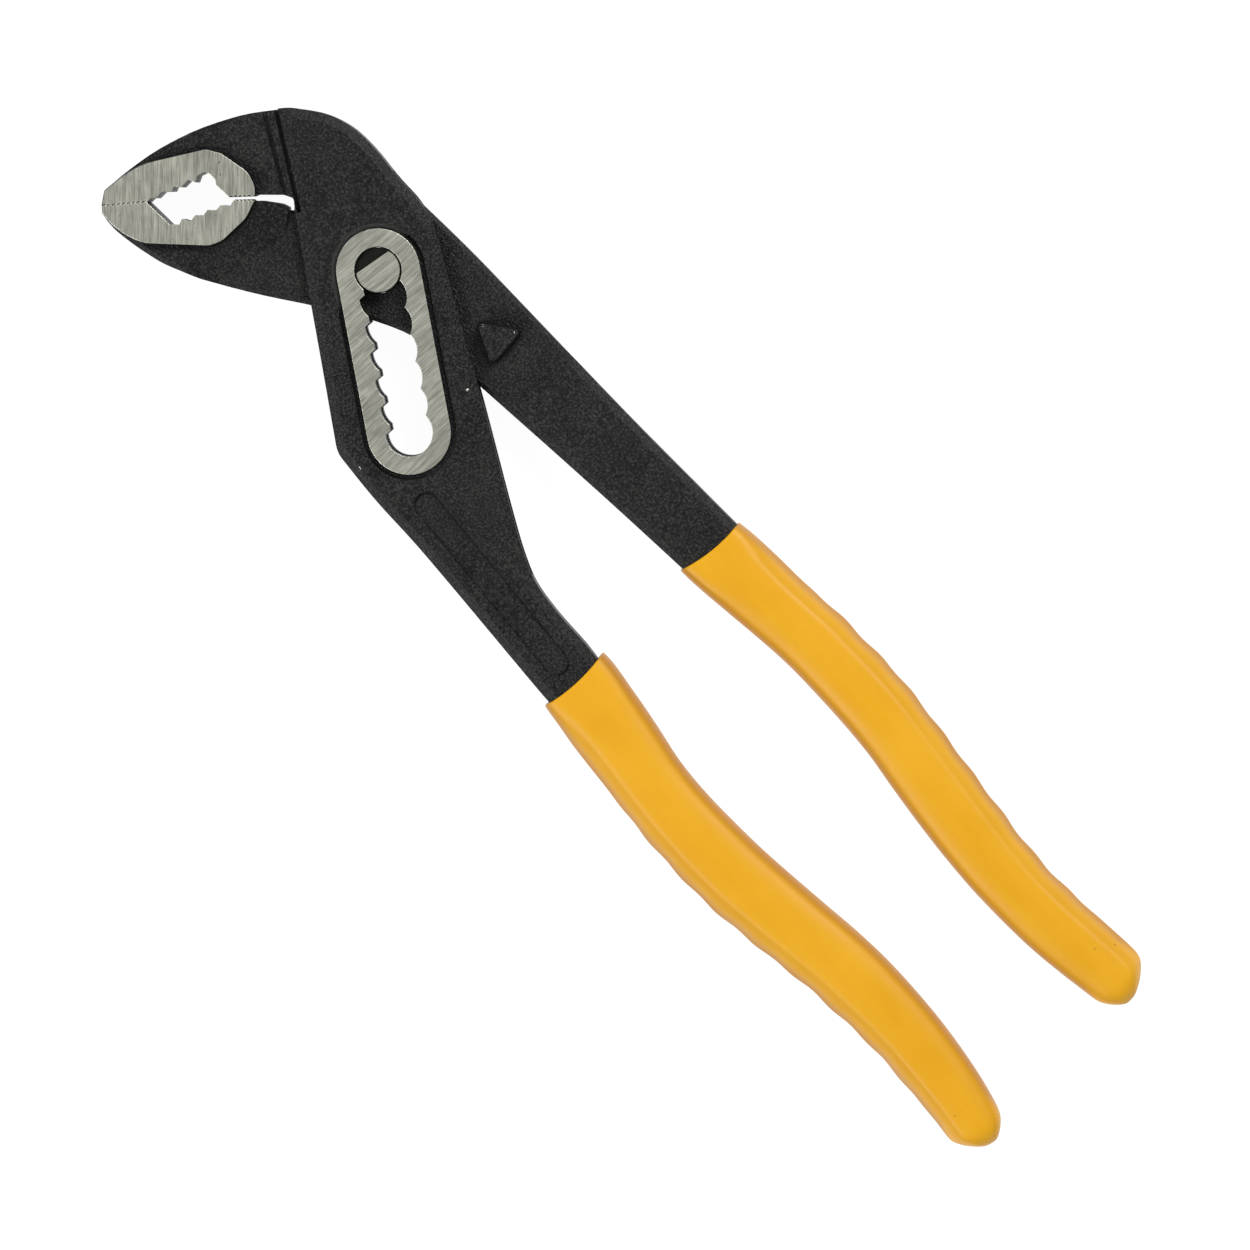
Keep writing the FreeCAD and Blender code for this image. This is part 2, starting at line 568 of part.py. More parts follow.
for item in doc.Objects:
    if "Invalid" in item.State or "Error" in item.State:
        raise RuntimeError(f"{item.Label} is {item.State}")
os.makedirs("parts", exist_ok=True)
for piece in pieces:
    if piece.Shape.isNull() or not piece.Shape.isValid():
        raise RuntimeError(f"{piece.Label} has no valid shape")
    piece.Shape.exportStep(f"parts/{piece.Label}.step")
    box = piece.Shape.BoundBox
    print(f"{piece.Label}: {len(piece.Shape.Solids)} solid, {piece.Shape.Volume:.0f} mm3, "
          f"{box.XMin:.1f}..{box.XMax:.1f}, {box.YMin:.1f}..{box.YMax:.1f}, {box.ZMin:.1f}..{box.ZMax:.1f}")
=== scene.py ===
# %% [markdown]
# # Tongue and groove pliers
# Two forged arms cross in a box joint: the inner arm passes between the two plates of the slotted
# arm, and a pivot pin seats in one of seven notches of the slot. Each handle has a dipped vinyl grip.
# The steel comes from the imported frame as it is, and gets its finishes here. The grips and the pin
# are remodelled, because their softness and fine edges are what the eye goes to first.

# %% Load the frame
import math

import bmesh
import bpy
import numpy as np
from mathutils import Matrix, Vector


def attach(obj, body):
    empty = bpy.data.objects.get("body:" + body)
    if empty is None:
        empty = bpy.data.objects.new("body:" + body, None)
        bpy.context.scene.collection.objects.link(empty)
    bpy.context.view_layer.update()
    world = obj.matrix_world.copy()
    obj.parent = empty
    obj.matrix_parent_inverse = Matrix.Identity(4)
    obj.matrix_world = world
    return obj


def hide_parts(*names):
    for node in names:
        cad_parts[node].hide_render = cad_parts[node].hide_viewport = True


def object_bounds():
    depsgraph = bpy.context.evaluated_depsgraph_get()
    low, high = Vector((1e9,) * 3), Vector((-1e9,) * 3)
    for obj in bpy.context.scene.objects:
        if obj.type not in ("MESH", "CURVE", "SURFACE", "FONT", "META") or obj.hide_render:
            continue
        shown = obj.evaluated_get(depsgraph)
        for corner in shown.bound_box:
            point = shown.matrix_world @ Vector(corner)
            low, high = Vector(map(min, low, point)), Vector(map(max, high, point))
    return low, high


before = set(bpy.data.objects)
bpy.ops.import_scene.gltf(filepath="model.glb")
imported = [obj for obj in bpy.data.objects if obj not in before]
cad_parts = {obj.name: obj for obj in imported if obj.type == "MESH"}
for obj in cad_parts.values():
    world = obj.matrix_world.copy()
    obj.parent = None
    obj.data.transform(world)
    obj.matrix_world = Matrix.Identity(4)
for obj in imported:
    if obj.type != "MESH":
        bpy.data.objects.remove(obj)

cad_low, cad_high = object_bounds()
MM = 0.001
MID_PLANE = (cad_low.z + cad_high.z) / 2
scene = bpy.context.scene

# %% [markdown]
# ## A short way to write shader maths
# Node trees are graphs of sockets. Wrapping a socket in a small class lets a mask be written as
# `1 - edge * 0.5`, and one method adds any other node, so a finish reads like a recipe.


# %% Shader maths
class Value:
    """A number socket that Python's operators can work on."""

    def __init__(self, tree, socket):
        self.tree = tree
        self.socket = socket

    def _maths(self, operation, a, b=None):
        return self.tree.node("ShaderNodeMath", {"operation": operation}, [a] if b is None else [a, b])[0]

    def __add__(self, other):
        return self._maths("ADD", self, other)

    def __radd__(self, other):
        return self._maths("ADD", other, self)

    def __sub__(self, other):
        return self._maths("SUBTRACT", self, other)

    def __rsub__(self, other):
        return self._maths("SUBTRACT", other, self)

    def __mul__(self, other):
        return self._maths("MULTIPLY", self, other)

    def __rmul__(self, other):
        return self._maths("MULTIPLY", other, self)

    def __gt__(self, other):
        return self._maths("GREATER_THAN", self, other)

    def __lt__(self, other):
        return self._maths("LESS_THAN", self, other)

    def __abs__(self):
        return self._maths("ABSOLUTE", self)


class Finish:
    """A material with one Principled shader and the nodes that feed it."""

    def __init__(self, name, **constants):
        self.material = bpy.data.materials.new(name)
        self.material.use_nodes = True
        self.nodes = self.material.node_tree.nodes
        self.links = self.material.node_tree.links
        self.shader = next(n for n in self.nodes if n.type == "BSDF_PRINCIPLED")
        for socket, constant in constants.items():
            self.shader.inputs[socket.replace("_", " ")].default_value = constant

    def node(self, kind, settings=None, inputs=()):
        """Add a node: its settings first, then its inputs by order or by name. Gives its outputs."""
        node = self.nodes.new(kind)
        for key, setting in (settings or {}).items():
            if key == "stops":
                ramp = node.color_ramp
                while len(ramp.elements) < len(setting):
                    ramp.elements.new(0.5)
                for element, (place, colour) in zip(ramp.elements, setting):
                    element.position = place
                    element.color = colour
            else:
                setattr(node, key, setting)
        pairs = inputs.items() if isinstance(inputs, dict) else enumerate(inputs)
        for key, given in pairs:
            if isinstance(given, Value):
                self.links.new(given.socket, node.inputs[key])
            elif isinstance(given, bpy.types.NodeSocket):
                self.links.new(given, node.inputs[key])
            else:
                node.inputs[key].default_value = given
        return [Value(self, o) if o.type == "VALUE" else o for o in node.outputs if o.enabled]

    def place(self):
        """The piece's own coordinates, in metres."""
        return self.node("ShaderNodeTexCoord")[3]

    def split(self, vector):
        return self.node("ShaderNodeSeparateXYZ", inputs=[vector])

    def turned(self, vector, degrees, scale):
        """Coordinates turned about Z, then scaled, for a pattern with a direction."""
        spun = self.node("ShaderNodeVectorRotate", {"rotation_type": "Z_AXIS"},
                         {"Vector": vector, "Angle": math.radians(degrees)})[0]
        return self.node("ShaderNodeMapping", {}, {"Vector": spun, "Scale": scale})[0]

    def noise(self, vector, scale, detail=3.0, roughness=0.6):
        return self.node("ShaderNodeTexNoise", {}, {"Vector": vector, "Scale": scale, "Detail": detail,
                                                    "Roughness": roughness})[0]

    def ramp(self, value, low, high):
        """0 below low, 1 above high, smooth between."""
        return self.node("ShaderNodeMapRange", {"interpolation_type": "SMOOTHSTEP"},
                         {"Value": value, "From Min": low, "From Max": high})[0]

    def mix(self, amount, first, second):
        """One colour over another."""
        return self.node("ShaderNodeMix", {"data_type": "RGBA"}, {0: amount, 6: first, 7: second})[0]

    def bump(self, height, distance, strength=1.0, normal=None):
        inputs = {"Height": height, "Distance": distance, "Strength": strength}
        if normal is not None:
            inputs["Normal"] = normal
        return self.node("ShaderNodeBump", {}, inputs)[0]

    def rounded_edges(self, radius):
        return self.node("ShaderNodeBevel", {"samples": 6}, {"Radius": radius})[0]

    def closeness(self, distance, inside=False):
        """How shut in a point is: 1 deep in a corner. Inside the solid, it finds sharp outer edges."""
        settings = {"only_local": True, "inside": inside, "samples": 8}
        return 1 - self.node("ShaderNodeAmbientOcclusion", settings, {"Distance": distance})[1]

    def feed(self, **sockets):
        for name, given in sockets.items():
            source = given.socket if isinstance(given, Value) else given
            self.links.new(source, self.shader.inputs[name.replace("_", " ")])
        return self.material


# %% [markdown]
# ## The camera, the floor and the lights
# The tool lies flat, so the camera hangs above it, leaning a little, on a long lens that keeps the
# outlines true. Flat glossy faces mirror what hangs over them, so the sky is dimmer overhead than at
# its sides: black steel stays black while its bevels and the grips' shoulders pick up the bright sides.

# %% Camera
PICTURE_RIGHT = Vector((0.7505, 0.6607, 0))
PICTURE_UP = Vector((-0.6607, 0.7505, 0))
VIEW_WIDTH = 242.25 * MM
VIEW_CENTRE = Vector((81.1 * MM, -20.1 * MM, 8 * MM))
CAMERA_DISTANCE = 1.5
LEAN_UP, LEAN_RIGHT = 3.0, 1.5

toward_camera = (Vector((0, 0, 1)) + PICTURE_UP * math.tan(math.radians(LEAN_UP))
                 + PICTURE_RIGHT * math.tan(math.radians(LEAN_RIGHT))).normalized()
camera_data = bpy.data.cameras.new("camera")
camera_data.sensor_width = 36
camera_data.lens = camera_data.sensor_width * CAMERA_DISTANCE / VIEW_WIDTH
camera = bpy.data.objects.new("camera", camera_data)
scene.collection.objects.link(camera)
sideways = PICTURE_UP.cross(toward_camera).normalized()
upright = toward_camera.cross(sideways)
camera.matrix_world = Matrix.Translation(VIEW_CENTRE + toward_camera * CAMERA_DISTANCE) @ Matrix(
    (sideways, upright, toward_camera)).transposed().to_4x4()
scene.camera = camera
print("lens", round(camera_data.lens, 1), "mm")

# %% Floor and sky
FLOOR_SIZE = 4.0
FLOOR_GAP = 0.05 * MM
floor_mesh = bpy.data.meshes.new("floor")
half = FLOOR_SIZE / 2
corners = [(-half, -half, 0), (half, -half, 0), (half, half, 0), (-half, half, 0)]
floor_mesh.from_pydata(corners, [], [(0, 1, 2, 3)])
floor = bpy.data.objects.new("floor", floor_mesh)
floor.location.z = cad_low.z - FLOOR_GAP
scene.collection.objects.link(floor)
paper = Finish("pale_paper", Base_Color=(0.12, 0.12, 0.12, 1), Roughness=0.9, Specular_IOR_Level=0.1,
               Emission_Color=(1, 1, 1, 1), Emission_Strength=0.96)
floor_mesh.materials.append(paper.material)

sky = bpy.data.worlds.new("studio")
sky.use_nodes = True
scene.world = sky
sky_nodes, sky_links = sky.node_tree.nodes, sky.node_tree.links
direction = sky_nodes.new("ShaderNodeTexCoord").outputs["Generated"]
height = sky_nodes.new("ShaderNodeSeparateXYZ")
sky_links.new(direction, height.inputs[0])
brightness = sky_nodes.new("ShaderNodeValToRGB")
sky_links.new(height.outputs["Z"], brightness.inputs["Fac"])
# height from the horizon, 0, to overhead, 1, and how bright the sky is there
SKY = [
    (0.0, 0.25), (0.40, 0.30), (0.48, 0.95), (0.60, 0.95),
    (0.70, 0.38), (0.86, 0.36), (0.94, 0.44), (1.0, 0.54),
]
SKY_STRENGTH = 0.8
while len(brightness.color_ramp.elements) < len(SKY):
    brightness.color_ramp.elements.new(0.5)
for stop, (level, light) in zip(brightness.color_ramp.elements, SKY):
    stop.position = level
    stop.color = (light, light, light, 1)
background = sky_nodes["Background"]
sky_links.new(brightness.outputs["Color"], background.inputs["Color"])
background.inputs["Strength"].default_value = SKY_STRENGTH
scene.view_settings.view_transform = "Standard"
print("floor at", round(floor.location.z / MM, 2), "mm, sky stops:", len(SKY))


# %% Lights
def softbox(name, place, size, power):
    """A soft area light aimed at the middle of the tool."""
    light = bpy.data.lights.new(name, "AREA")
    light.shape = "RECTANGLE"
    light.size, light.size_y = size
    light.energy = power
    lamp = bpy.data.objects.new(name, light)
    aim = Vector((80, -20, 0)) * MM
    lamp.location = aim + Vector(place)
    lamp.rotation_euler = (aim - lamp.location).to_track_quat("-Z", "Y").to_euler()
    scene.collection.objects.link(lamp)


softbox("key", PICTURE_UP * 0.9 + PICTURE_RIGHT * 0.5 + Vector((0, 0, 1.0)), (0.9, 0.5), 16)
softbox("fill", PICTURE_UP * -0.6 - PICTURE_RIGHT * 0.9 + Vector((0, 0, 0.9)), (0.9, 0.5), 12)

# %% [markdown]
# ## Steel: a black finish with faces ground bare
# The forgings are blackened all over, then their highest faces are ground flat: the jaws' sides and
# the ring round the slot. Those faces are all at one height, so one finish can tell ground from
# black by the distance from the mid-plane. Grinding leaves fine straight scratches, across the
# jaws and slantwise on the ring. The black is a grainy oxide, faintly mottled. Its corners are painted
# darker as painted shade, and its outer edges are painted a little lighter as a painted highlight.

# %% Forged steel
GROUND_FROM = 5.93 * MM
JAW_SCRATCHES, RING_SCRATCHES = 131.4, 84.0
JAW_END = -22.0 * MM


def scratches(finish, place, degrees):
    """Fine grinding lines that run at an angle, 0 to 1."""
    fine = finish.noise(finish.turned(place, -degrees, (300, 7000, 300)), 1.0, detail=3.0)
    broad = finish.noise(finish.turned(place, -degrees, (120, 2400, 120)), 1.0, detail=2.0)
    return fine * 0.6 + broad * 0.4


# places where the finish is chipped to bright metal: x, y and radius, in mm
WORN_SPOTS = [(22.1, 5.3, 0.3), (27.8, 8.6, 0.35), (22.5, -31.1, 0.28), (28.2, -5.9, 0.28)]


def forged_steel(name):
    finish = Finish(name, Specular_IOR_Level=0.23)
    place = finish.place()
    x, y, z = finish.split(place)
    ground = abs(z - MID_PLANE) > GROUND_FROM

    grain = finish.noise(place, 2300, detail=1.0)
    mottle = finish.noise(place, 160, detail=4.0)
    black = finish.mix(finish.ramp(mottle * 0.2 + grain * 0.8, 0.43, 0.69), (0.0005, 0.0006, 0.0006, 1),
                       (0.0270, 0.0270, 0.0252, 1))

    # painted shade: corners and creases close to other faces are darkened to almost black
    painted_corner_shade = finish.ramp(finish.closeness(1.6 * MM), 0.04, 0.35)
    # painted highlight: sharp outer edges are painted a little lighter
    painted_edge_highlight = finish.ramp(finish.closeness(0.7 * MM, inside=True), 0.52, 0.66)
    black = finish.mix(painted_edge_highlight * 0.55, black, (0.035, 0.035, 0.033, 1))
    black = finish.mix(painted_corner_shade, black, (0.0002, 0.0002, 0.0002, 1))

    on_jaw = x < JAW_END
    jaw_lines = scratches(finish, place, JAW_SCRATCHES)
    ring_lines = scratches(finish, place, RING_SCRATCHES)
    lines = jaw_lines * on_jaw + ring_lines * (1 - on_jaw)
    patches = finish.noise(place, 220, detail=3.0)
    bare = finish.mix(finish.ramp(lines, 0.33, 0.67), (0.31, 0.31, 0.26, 1), (0.64, 0.64, 0.56, 1))
    specks = finish.noise(finish.turned(place, -JAW_SCRATCHES, (900, 2400, 900)), 1.0, detail=1.0)
    pits = finish.ramp(specks, 0.72, 0.78)
    bare = finish.mix(pits * on_jaw, bare, (0.10, 0.10, 0.08, 1))

    worn = 0
    for spot_x, spot_y, radius in WORN_SPOTS:
        off_x, off_y = x - spot_x * MM, y - spot_y * MM
        worn = worn + (off_x * off_x + off_y * off_y < (radius * MM) ** 2)
    chipped = worn * finish.ramp(finish.noise(place, 1800), 0.50, 0.56)

    relief = grain * (1 - ground) + lines * ground * 0.08
    return finish.feed(
        Base_Color=finish.mix(ground, finish.mix(chipped, black, (0.62, 0.60, 0.55, 1)), bare),
        Metallic=ground,
        Roughness=finish.ramp(mottle, 0.3, 0.7) * 0.1 + 0.40 - ground * (0.08 - 0.1 * patches),
        Normal=finish.bump(relief, 0.25 * MM, 0.9, finish.rounded_edges(0.22 * MM)),
    )


STEEL = forged_steel("forged_steel")
for name in ("slotted_arm", "inner_arm"):
    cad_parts[name].data.materials.clear()
    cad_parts[name].data.materials.append(STEEL)
print("steel finish on both arms,", len(STEEL.node_tree.nodes), "nodes")

# %% [markdown]
# ## The pivot pin
# The pin is pressed into the inner arm and turns with it. Its two ends stand in the slot and carry a
# flat, which on the real tool clears the teeth when the arms are wide open. Here it seats cleanly in
# each notch, but one straight slide can't follow the scallops, so between notches it cuts the teeth.
# It is turned as a profile about its axis, with a small chamfer at both ends, and the flats are cut.

# %% Pin
PIN_RADIUS = 4.4 * MM
PIN_CHAMFER = 0.25 * MM
PIN_FLAT = 2.1 * MM
SHANK_HALF = 2.3 * MM
SHANK_STEP = 0.01 * MM
PIN_STEPS = 96
SLOT_ANGLE = math.radians(-37.9)
FLAT_DIRECTION = SLOT_ANGLE + math.pi + math.radians(24.0)


def pin_ring(radius, z, flat):
    """One loop of the pin: a circle, cut straight where the flat is."""
    loop = []
    for step in range(PIN_STEPS):
        angle = 2 * math.pi * step / PIN_STEPS
        out = radius
        facing = math.cos(angle - FLAT_DIRECTION)
        if flat and radius * facing > flat:
            out = flat / facing
        loop.append((out * math.cos(angle), out * math.sin(angle), z))
    return loop


def pin_mesh():
    top = cad_high.z
    shank = MID_PLANE + SHANK_HALF
    levels = [
        (PIN_RADIUS - PIN_CHAMFER, top, PIN_FLAT - PIN_CHAMFER),
        (PIN_RADIUS, top - PIN_CHAMFER, PIN_FLAT),
        (PIN_RADIUS, shank, PIN_FLAT),
        (PIN_RADIUS, shank - SHANK_STEP, 0),
    ]
    levels += [(r, 2 * MID_PLANE - z, flat) for r, z, flat in reversed(levels)]
    mesh = bmesh.new()
    loops = [[mesh.verts.new(p) for p in pin_ring(*level)] for level in levels]
    mesh.faces.new(loops[0])
    mesh.faces.new(list(reversed(loops[-1])))
    for upper, lower in zip(loops, loops[1:]):
        for i in range(len(upper)):
            j = (i + 1) % len(upper)
            mesh.faces.new((upper[i], lower[i], lower[j], upper[j]))
    bmesh.ops.recalc_face_normals(mesh, faces=mesh.faces)
    data = bpy.data.meshes.new("pivot_pin_turned")
    mesh.to_mesh(data)
    return data


pin = bpy.data.objects.new("pivot_pin_turned", pin_mesh())
scene.collection.objects.link(pin)


def ground_pin():
    finish = Finish("ground_pin", Metallic=1.0)
    place = finish.place()
    z = finish.split(place)[2]
    end_face = abs(z - MID_PLANE) > GROUND_FROM
    lines = scratches(finish, place, 80.0)
    bare = finish.mix(finish.ramp(lines, 0.33, 0.67), (0.36, 0.36, 0.30, 1), (0.80, 0.80, 0.71, 1))
    return finish.feed(
        Base_Color=finish.mix(end_face, (0.05, 0.05, 0.045, 1), bare),
        Roughness=0.42 - finish.noise(place, 300) * 0.12,
        Normal=finish.bump(lines, 0.012 * MM, 0.6),
    )


pin.data.materials.append(ground_pin())
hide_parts("pivot_pin")
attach(pin, "inner_arm")
print("pin:", len(pin.data.polygons), "faces")

# %% [markdown]
# ## The dipped grips
# A dipped grip is a skin of vinyl, thick and soft-edged. Its inner side rolls off quickly, and its
# outer side, where the fingers close, slopes away in a broad shoulder with shallow finger ribs.
# The sleeve is built as rings: each ring is the same section, set square to the handle's centre
# line and scaled to the grip's width and thickness there.

# %% Grip stations
# x, centre line y and width measured square to +X, all in mm
SLOTTED_STATIONS = [
    (80.6, -34.65, 15.7), (83.0, -35.05, 16.1), (90.0, -36.7, 16.3), (98.0, -38.5, 15.75),
    (106.0, -40.35, 15.0),
    (114.0, -41.65, 14.95), (122.0, -42.45, 15.2), (130.0, -42.9, 15.3), (138.0, -42.85, 15.15),
    (146.0, -42.65, 14.95), (154.0, -42.4, 14.7), (162.0, -42.6, 14.6), (170.0, -43.15, 14.05),
    (178.0, -44.2, 13.7), (186.0, -45.7, 13.15), (192.0, -47.05, 12.5), (201.2, -49.9, 11.6),
]
INNER_STATIONS = [
    (83.3, 2.15, 14.6), (86.0, 2.15, 14.9), (94.0, 2.15, 14.75), (102.0, 2.05, 14.15), (110.0, 2.0, 14.15),
    (118.0, 1.4, 14.25), (126.0, 0.6, 14.5), (134.0, -0.7, 14.5), (142.0, -2.45, 14.8), (150.0, -4.2, 14.8),
    (158.0, -5.8, 14.6), (166.0, -7.2, 14.1), (174.0, -8.1, 13.6), (182.0, -8.5, 13.4), (190.0, -8.4, 13.1),
    (196.0, -8.25, 12.6), (202.9, -8.4, 11.8),
]
# half section from the inner side (-0.5) over the top to the outer side (0.5): across, height
SECTION = [
    (-0.5, 0.0), (-0.497, 0.22), (-0.48, 0.50), (-0.44, 0.70), (-0.37, 0.84), (-0.27, 0.925), (-0.14, 0.98),
    (0.0, 1.0), (0.08, 1.0), (0.13, 0.975), (0.22, 0.96), (0.28, 0.91), (0.33, 0.80), (0.38, 0.66),
    (0.42, 0.50),
    (0.475, 0.10), (0.5, 0.0),
]
# the same at the mouth, where the sleeve fits the square-edged steel
MOUTH_SECTION = [
    (-0.5, 0.0), (-0.497, 0.30), (-0.485, 0.62), (-0.45, 0.85), (-0.38, 0.95), (-0.27, 0.985), (-0.14, 1.0),
    (0.0, 1.0), (0.12, 1.0), (0.20, 0.998), (0.25, 0.99), (0.30, 0.98), (0.35, 0.96), (0.40, 0.91),
    (0.45, 0.80),
    (0.485, 0.50), (0.5, 0.0),
]
MOUTH_BLEND = 14.0
GRIP_HALF = 6.0 * MM
MOUTH_HALF = 5.5 * MM


def along(stations, xs):
    """Centre line and width at each x, smoothly through the stations."""
    data = np.array(stations)
    slopes = np.gradient(data[:, 1:], data[:, 0], axis=0)
    result = []
    for x in xs:
        i = int(np.clip(np.searchsorted(data[:, 0], x) - 1, 0, len(data) - 2))
        h = data[i + 1, 0] - data[i, 0]
        t = (x - data[i, 0]) / h
        a, b = data[i, 1:], data[i + 1, 1:]
        result.append((2 * t**3 - 3 * t**2 + 1) * a + (t**3 - 2 * t**2 + t) * h * slopes[i]
                      + (3 * t**2 - 2 * t**3) * b + (t**3 - t**2) * h * slopes[i + 1])
    return np.array(result)


print("section points:", len(SECTION))

# %% Grip sleeve
MOUTH_DISH = 0.8 * MM
SWELL_LENGTH = 8.0
END_ROUNDING = 5.0
TIP_SHIFT = 0.11
SHOULDER_FROM, SHOULDER_WIDTH = 0.3, 0.2
# how far from the end, in mm, the painted shade on the sleeve's sides fades out
SIDE_SHADE_FADE = 9.0
# the lip, from inside the sleeve outwards: depth and how far it is set in, in mm
LIP = [(5.0, 1.3), (0.6, 1.2), (0.1, 0.95), (0.0, 0.6)]


def sleeve(name, stations, outer_side, slant):
    """The closed skin of one grip. outer_side is +1 or -1: the side along Y that has the ribs.

    slant is how far the mouth leans forward for each unit across, towards the outer side.
    """
    start, end = stations[0][0], stations[-1][0]
    xs = np.concatenate([np.linspace(start, start + 3, 7), np.arange(start + 4, end - END_ROUNDING, 1.0)])
    tip_xs = end - END_ROUNDING * (1 - np.sin(np.linspace(0, math.pi / 2, 12)[1:]))
    centres = along(stations, np.concatenate([xs, tip_xs]))
    xs = np.concatenate([xs, tip_xs])
    ys, widths = centres[:, 0], centres[:, 1]
    slope = np.gradient(ys, xs)

    def closed(half_section):
        half = np.array(half_section)
        return np.vstack([half, half[-2:0:-1] * (1, -1)])

    body_section, mouth_section = closed(SECTION), closed(MOUTH_SECTION)

    mesh = bmesh.new()
    rib_layer = mesh.verts.layers.float.new("rib_side")
    side_shade_layer = mesh.verts.layers.float.new("side")
    loops = []

    def ring(x, y, lean, width, height, at_mouth):
        """One section; at_mouth is 1 at the mouth and fades to 0 behind it."""
        tangent = Vector((1, lean, 0)).normalized()
        across = Vector((-tangent.y, tangent.x, 0)) * outer_side
        square_width = width / math.sqrt(1 + lean * lean)
        loop = []
        for u, v in body_section * (1 - at_mouth) + mouth_section * at_mouth:
            point = Vector((x, y, 0)) * MM + across * (u * square_width * MM)
            point += tangent * at_mouth * (MOUTH_DISH * (1 - (2 * u) ** 2) + slant * u * square_width * MM)
            point.z = MID_PLANE + v * height
            vert = mesh.verts.new(point)
            vert[rib_layer] = max(0.0, (u - SHOULDER_FROM) / SHOULDER_WIDTH)
            shoulder = max(0.0, (abs(u) - SHOULDER_FROM) / SHOULDER_WIDTH)
            # the side value marks where the vinyl finish paints shade on the sides
            vert[side_shade_layer] = shoulder * min(1.0, (end - x) / SIDE_SHADE_FADE)
            loop.append(vert)
        return loop

    for depth, shrink in LIP:
        k = 1 - 2 * shrink / widths[0]
        loops.append(ring(xs[0] + depth, ys[0] + depth * slope[0], slope[0], widths[0] * k,
                          MOUTH_HALF - shrink * MM, 1.0))
    # outer skin, fuller behind the lip
    for i in range(len(xs)):
        from_mouth = xs[i] - xs[0]
        to_end = (end - xs[i]) / END_ROUNDING
        height = MOUTH_HALF + (GRIP_HALF - MOUTH_HALF) * min(1.0, from_mouth / SWELL_LENGTH)
        width = widths[i]
        y = ys[i]
        if to_end < 1:
            narrowing = max(1 - (1 - to_end) ** 1.5, 0.0) ** 0.75
            height *= 0.15 + 0.85 * math.sqrt(max(1 - (1 - to_end) ** 2.4, 0.0))
            y -= outer_side * TIP_SHIFT * width * (1 - narrowing)
            width *= 0.16 + 0.84 * narrowing
        fade = max(0.0, 1 - from_mouth / MOUTH_BLEND)
        loops.append(ring(xs[i], y, slope[i], width, height, fade * fade * (3 - 2 * fade)))
    for first, second in zip(loops, loops[1:]):
        for i in range(len(first)):
            j = (i + 1) % len(first)
            mesh.faces.new((first[i], first[j], second[j], second[i]))
    mesh.faces.new(loops[0])
    mesh.faces.new(loops[-1])
    bmesh.ops.recalc_face_normals(mesh, faces=mesh.faces)
    data = bpy.data.meshes.new(name)
    mesh.to_mesh(data)
    for polygon in data.polygons:
        polygon.use_smooth = True
    grip = bpy.data.objects.new(name, data)
    scene.collection.objects.link(grip)
    return grip


grips = {
    "slotted_arm": sleeve("slotted_grip_sleeve", SLOTTED_STATIONS, -1, 0.05),
    "inner_arm": sleeve("inner_grip_sleeve", INNER_STATIONS, 1, 0.165),
}
print({name: len(grip.data.vertices) for name, grip in grips.items()})

# %% [markdown]
# ## Finger ribs
# The ribs repeat at one pitch along the outer shoulder, so a small Geometry Nodes tree makes them:
# it moves each point of the sleeve out and in with a wave along X, only where the painted side value
# says shoulder, and only along the ribbed stretch. Pitch, depth and stretch are named inputs.


# %% Rib tree
RIB_FADE = 0.012


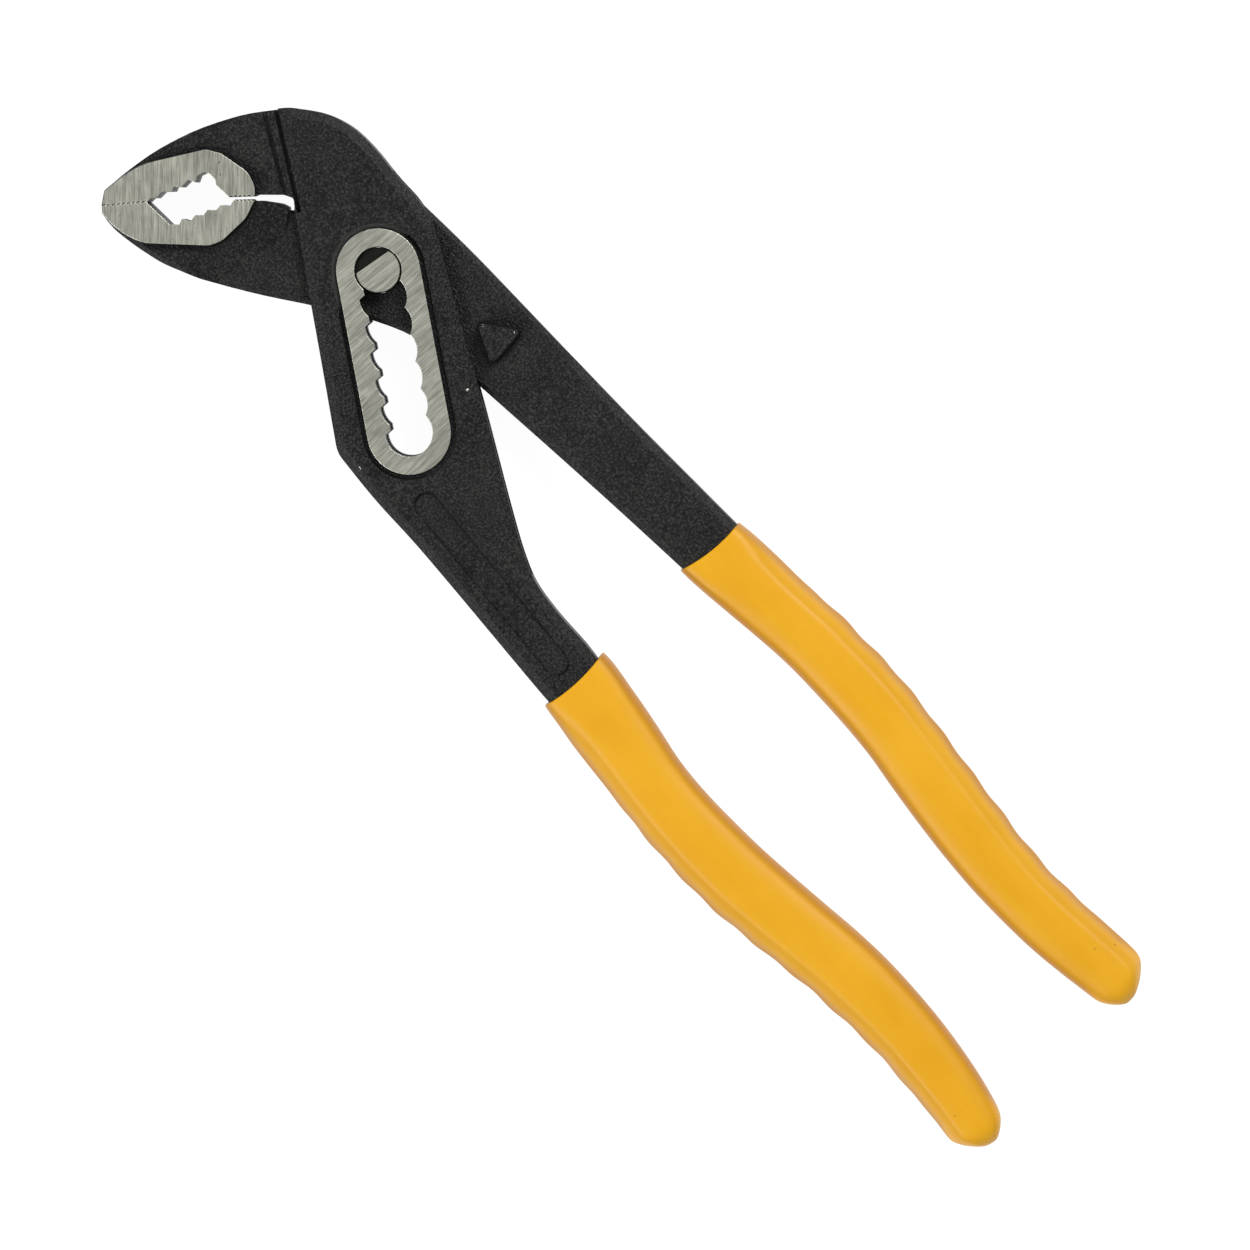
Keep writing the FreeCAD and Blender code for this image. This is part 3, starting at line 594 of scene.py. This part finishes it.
def rib_tree(material):
    """A node group that raises ribs along the outer shoulder of a sleeve."""
    tree = bpy.data.node_groups.new("finger_ribs", "GeometryNodeTree")
    tree.interface.new_socket("Geometry", in_out="INPUT", socket_type="NodeSocketGeometry")
    for label in ("Pitch", "Depth", "First rib", "Last rib"):
        tree.interface.new_socket(label, in_out="INPUT", socket_type="NodeSocketFloat")
    tree.interface.new_socket("Geometry", in_out="OUTPUT", socket_type="NodeSocketGeometry")
    nodes, links = tree.nodes, tree.links
    given = nodes.new("NodeGroupInput")

    def maths(operation, *values):
        node = nodes.new("ShaderNodeMath")
        node.operation = operation
        for socket, value in zip(node.inputs, values):
            if isinstance(value, bpy.types.NodeSocket):
                links.new(value, socket)
            else:
                socket.default_value = value
        return node.outputs[0]

    def step(value, low, high):
        node = nodes.new("ShaderNodeMapRange")
        node.interpolation_type = "SMOOTHSTEP"
        for key, part in (("Value", value), ("From Min", low), ("From Max", high)):
            if isinstance(part, bpy.types.NodeSocket):
                links.new(part, node.inputs[key])
            else:
                node.inputs[key].default_value = part
        return node.outputs[0]

    where = nodes.new("ShaderNodeSeparateXYZ")
    links.new(nodes.new("GeometryNodeInputPosition").outputs[0], where.inputs[0])
    x = where.outputs["X"]
    side = nodes.new("GeometryNodeInputNamedAttribute")
    side.data_type = "FLOAT"
    side.inputs["Name"].default_value = "rib_side"
    run_in = step(x, given.outputs["First rib"], maths("ADD", given.outputs["First rib"], RIB_FADE))
    run_out = step(x, maths("SUBTRACT", given.outputs["Last rib"], RIB_FADE), given.outputs["Last rib"])
    stretch = maths("MULTIPLY", run_in, maths("SUBTRACT", 1.0, run_out))
    phase = maths("MULTIPLY", maths("DIVIDE", maths("SUBTRACT", x, given.outputs["First rib"]),
                                    given.outputs["Pitch"]), 2 * math.pi)
    wave = maths("MULTIPLY", maths("COSINE", phase), -0.5)
    amount = maths("MULTIPLY", maths("MULTIPLY", wave, given.outputs["Depth"]),
                   maths("MULTIPLY", stretch, step(side.outputs["Attribute"], 0.0, 1.0)))
    normal = nodes.new("GeometryNodeInputNormal")
    offset = nodes.new("ShaderNodeVectorMath")
    offset.operation = "SCALE"
    links.new(normal.outputs[0], offset.inputs[0])
    links.new(amount, offset.inputs["Scale"])
    move = nodes.new("GeometryNodeSetPosition")
    links.new(given.outputs["Geometry"], move.inputs["Geometry"])
    links.new(offset.outputs[0], move.inputs["Offset"])
    real = nodes.new("GeometryNodeRealizeInstances")
    links.new(move.outputs[0], real.inputs[0])
    paint = nodes.new("GeometryNodeSetMaterial")
    links.new(real.outputs[0], paint.inputs["Geometry"])
    paint.inputs["Material"].default_value = material
    result = nodes.new("NodeGroupOutput")
    links.new(paint.outputs[0], result.inputs[0])
    print("rib tree:", len(nodes), "nodes")
    return tree


# %% [markdown]
# ## Vinyl
# Plastisol vinyl is one solid amber colour with a soft gloss. Up close it has faint flow marks along
# the grip and a few dark specks near the end, where the dip was drained. The sleeve's sides are
# painted a darker amber as painted shade, fading out towards the end.


# %% Vinyl finish
def vinyl():
    finish = Finish("amber_vinyl", Specular_IOR_Level=0.28)
    place = finish.place()
    flow = finish.noise(finish.turned(place, 10, (30, 160, 160)), 1.0, detail=3.0)
    cloud = finish.noise(place, 60, detail=2.0)
    tint = finish.ramp(flow * 0.6 + cloud * 0.4, 0.3, 0.7)
    colour = finish.mix(tint, (0.66, 0.315, 0.005, 1), (0.71, 0.355, 0.008, 1))
    x = finish.split(place)[0]
    near_end = finish.ramp(x, 186 * MM, 194 * MM)
    specks = finish.ramp(finish.noise(place, 700, detail=1.0), 0.735, 0.77) * near_end
    colour = finish.mix(specks * 0.6, colour, (0.25, 0.10, 0.01, 1))
    # painted shade: the sleeve's sides, by their side value, are painted a darker amber
    side = finish.node("ShaderNodeAttribute", {"attribute_name": "side"})[2]
    colour = finish.mix(finish.ramp(side, 0.35, 0.9) * (0.75 + cloud * 0.3), colour, (0.46, 0.20, 0.022, 1))
    return finish.feed(
        Base_Color=colour,
        Roughness=finish.ramp(cloud, 0.3, 0.7) * 0.08 + 0.40,
        Normal=finish.bump(flow, 0.10 * MM, 0.25),
    )


VINYL = vinyl()
print("vinyl finish:", len(VINYL.node_tree.nodes), "nodes")

# %% Ribbed grips
# pitch, depth, first rib and last rib, in the order of the tree's inputs
RIBS = (9.6 * MM, 0.32 * MM, 98 * MM, 190 * MM)
tree = rib_tree(VINYL)
inputs = [item for item in tree.interface.items_tree if item.in_out == "INPUT" and item.name != "Geometry"]
for body, grip in grips.items():
    ribs = grip.modifiers.new("finger_ribs", "NODES")
    ribs.node_group = tree
    for item, value in zip(inputs, RIBS):
        ribs[item.identifier] = value
    evaluated = grip.evaluated_get(bpy.context.evaluated_depsgraph_get())
    finished = bpy.data.meshes.new_from_object(evaluated)
    grip.modifiers.remove(ribs)
    grip.data = finished
    smooth = grip.modifiers.new("smooth_skin", "SUBSURF")
    smooth.levels = smooth.render_levels = 1
    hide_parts(body + "_grip")
    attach(grip, body)
    print(grip.name, len(finished.polygons), "faces")
